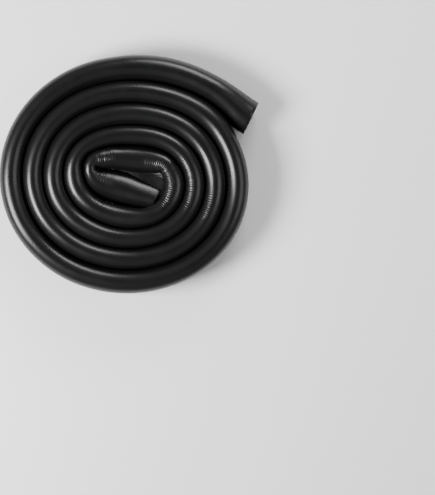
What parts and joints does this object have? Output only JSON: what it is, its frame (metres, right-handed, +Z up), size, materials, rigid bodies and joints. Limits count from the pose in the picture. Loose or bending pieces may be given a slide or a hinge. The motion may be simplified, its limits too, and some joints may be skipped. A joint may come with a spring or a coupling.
{
  "type": "foam tube",
  "caption": "Soft black foam pipe sleeve, a plain round tube with an open bore, wound flat in an oval coil with its inner end folded back.",
  "frame": {"origin": "on the floor, under the middle of the coil's box", "axes": "+X along the coil's outer end, towards its cut face; +Z up, across the flat of the coil"},
  "size_m": [0.2322, 0.237, 0.0438],
  "materials": {
    "black_foam": "satin extruded skin, fine cells bare on the cut faces"
  },
  "bodies": {
    "root": {"foam_tube": "black_foam"}
  },
  "joints": []
}
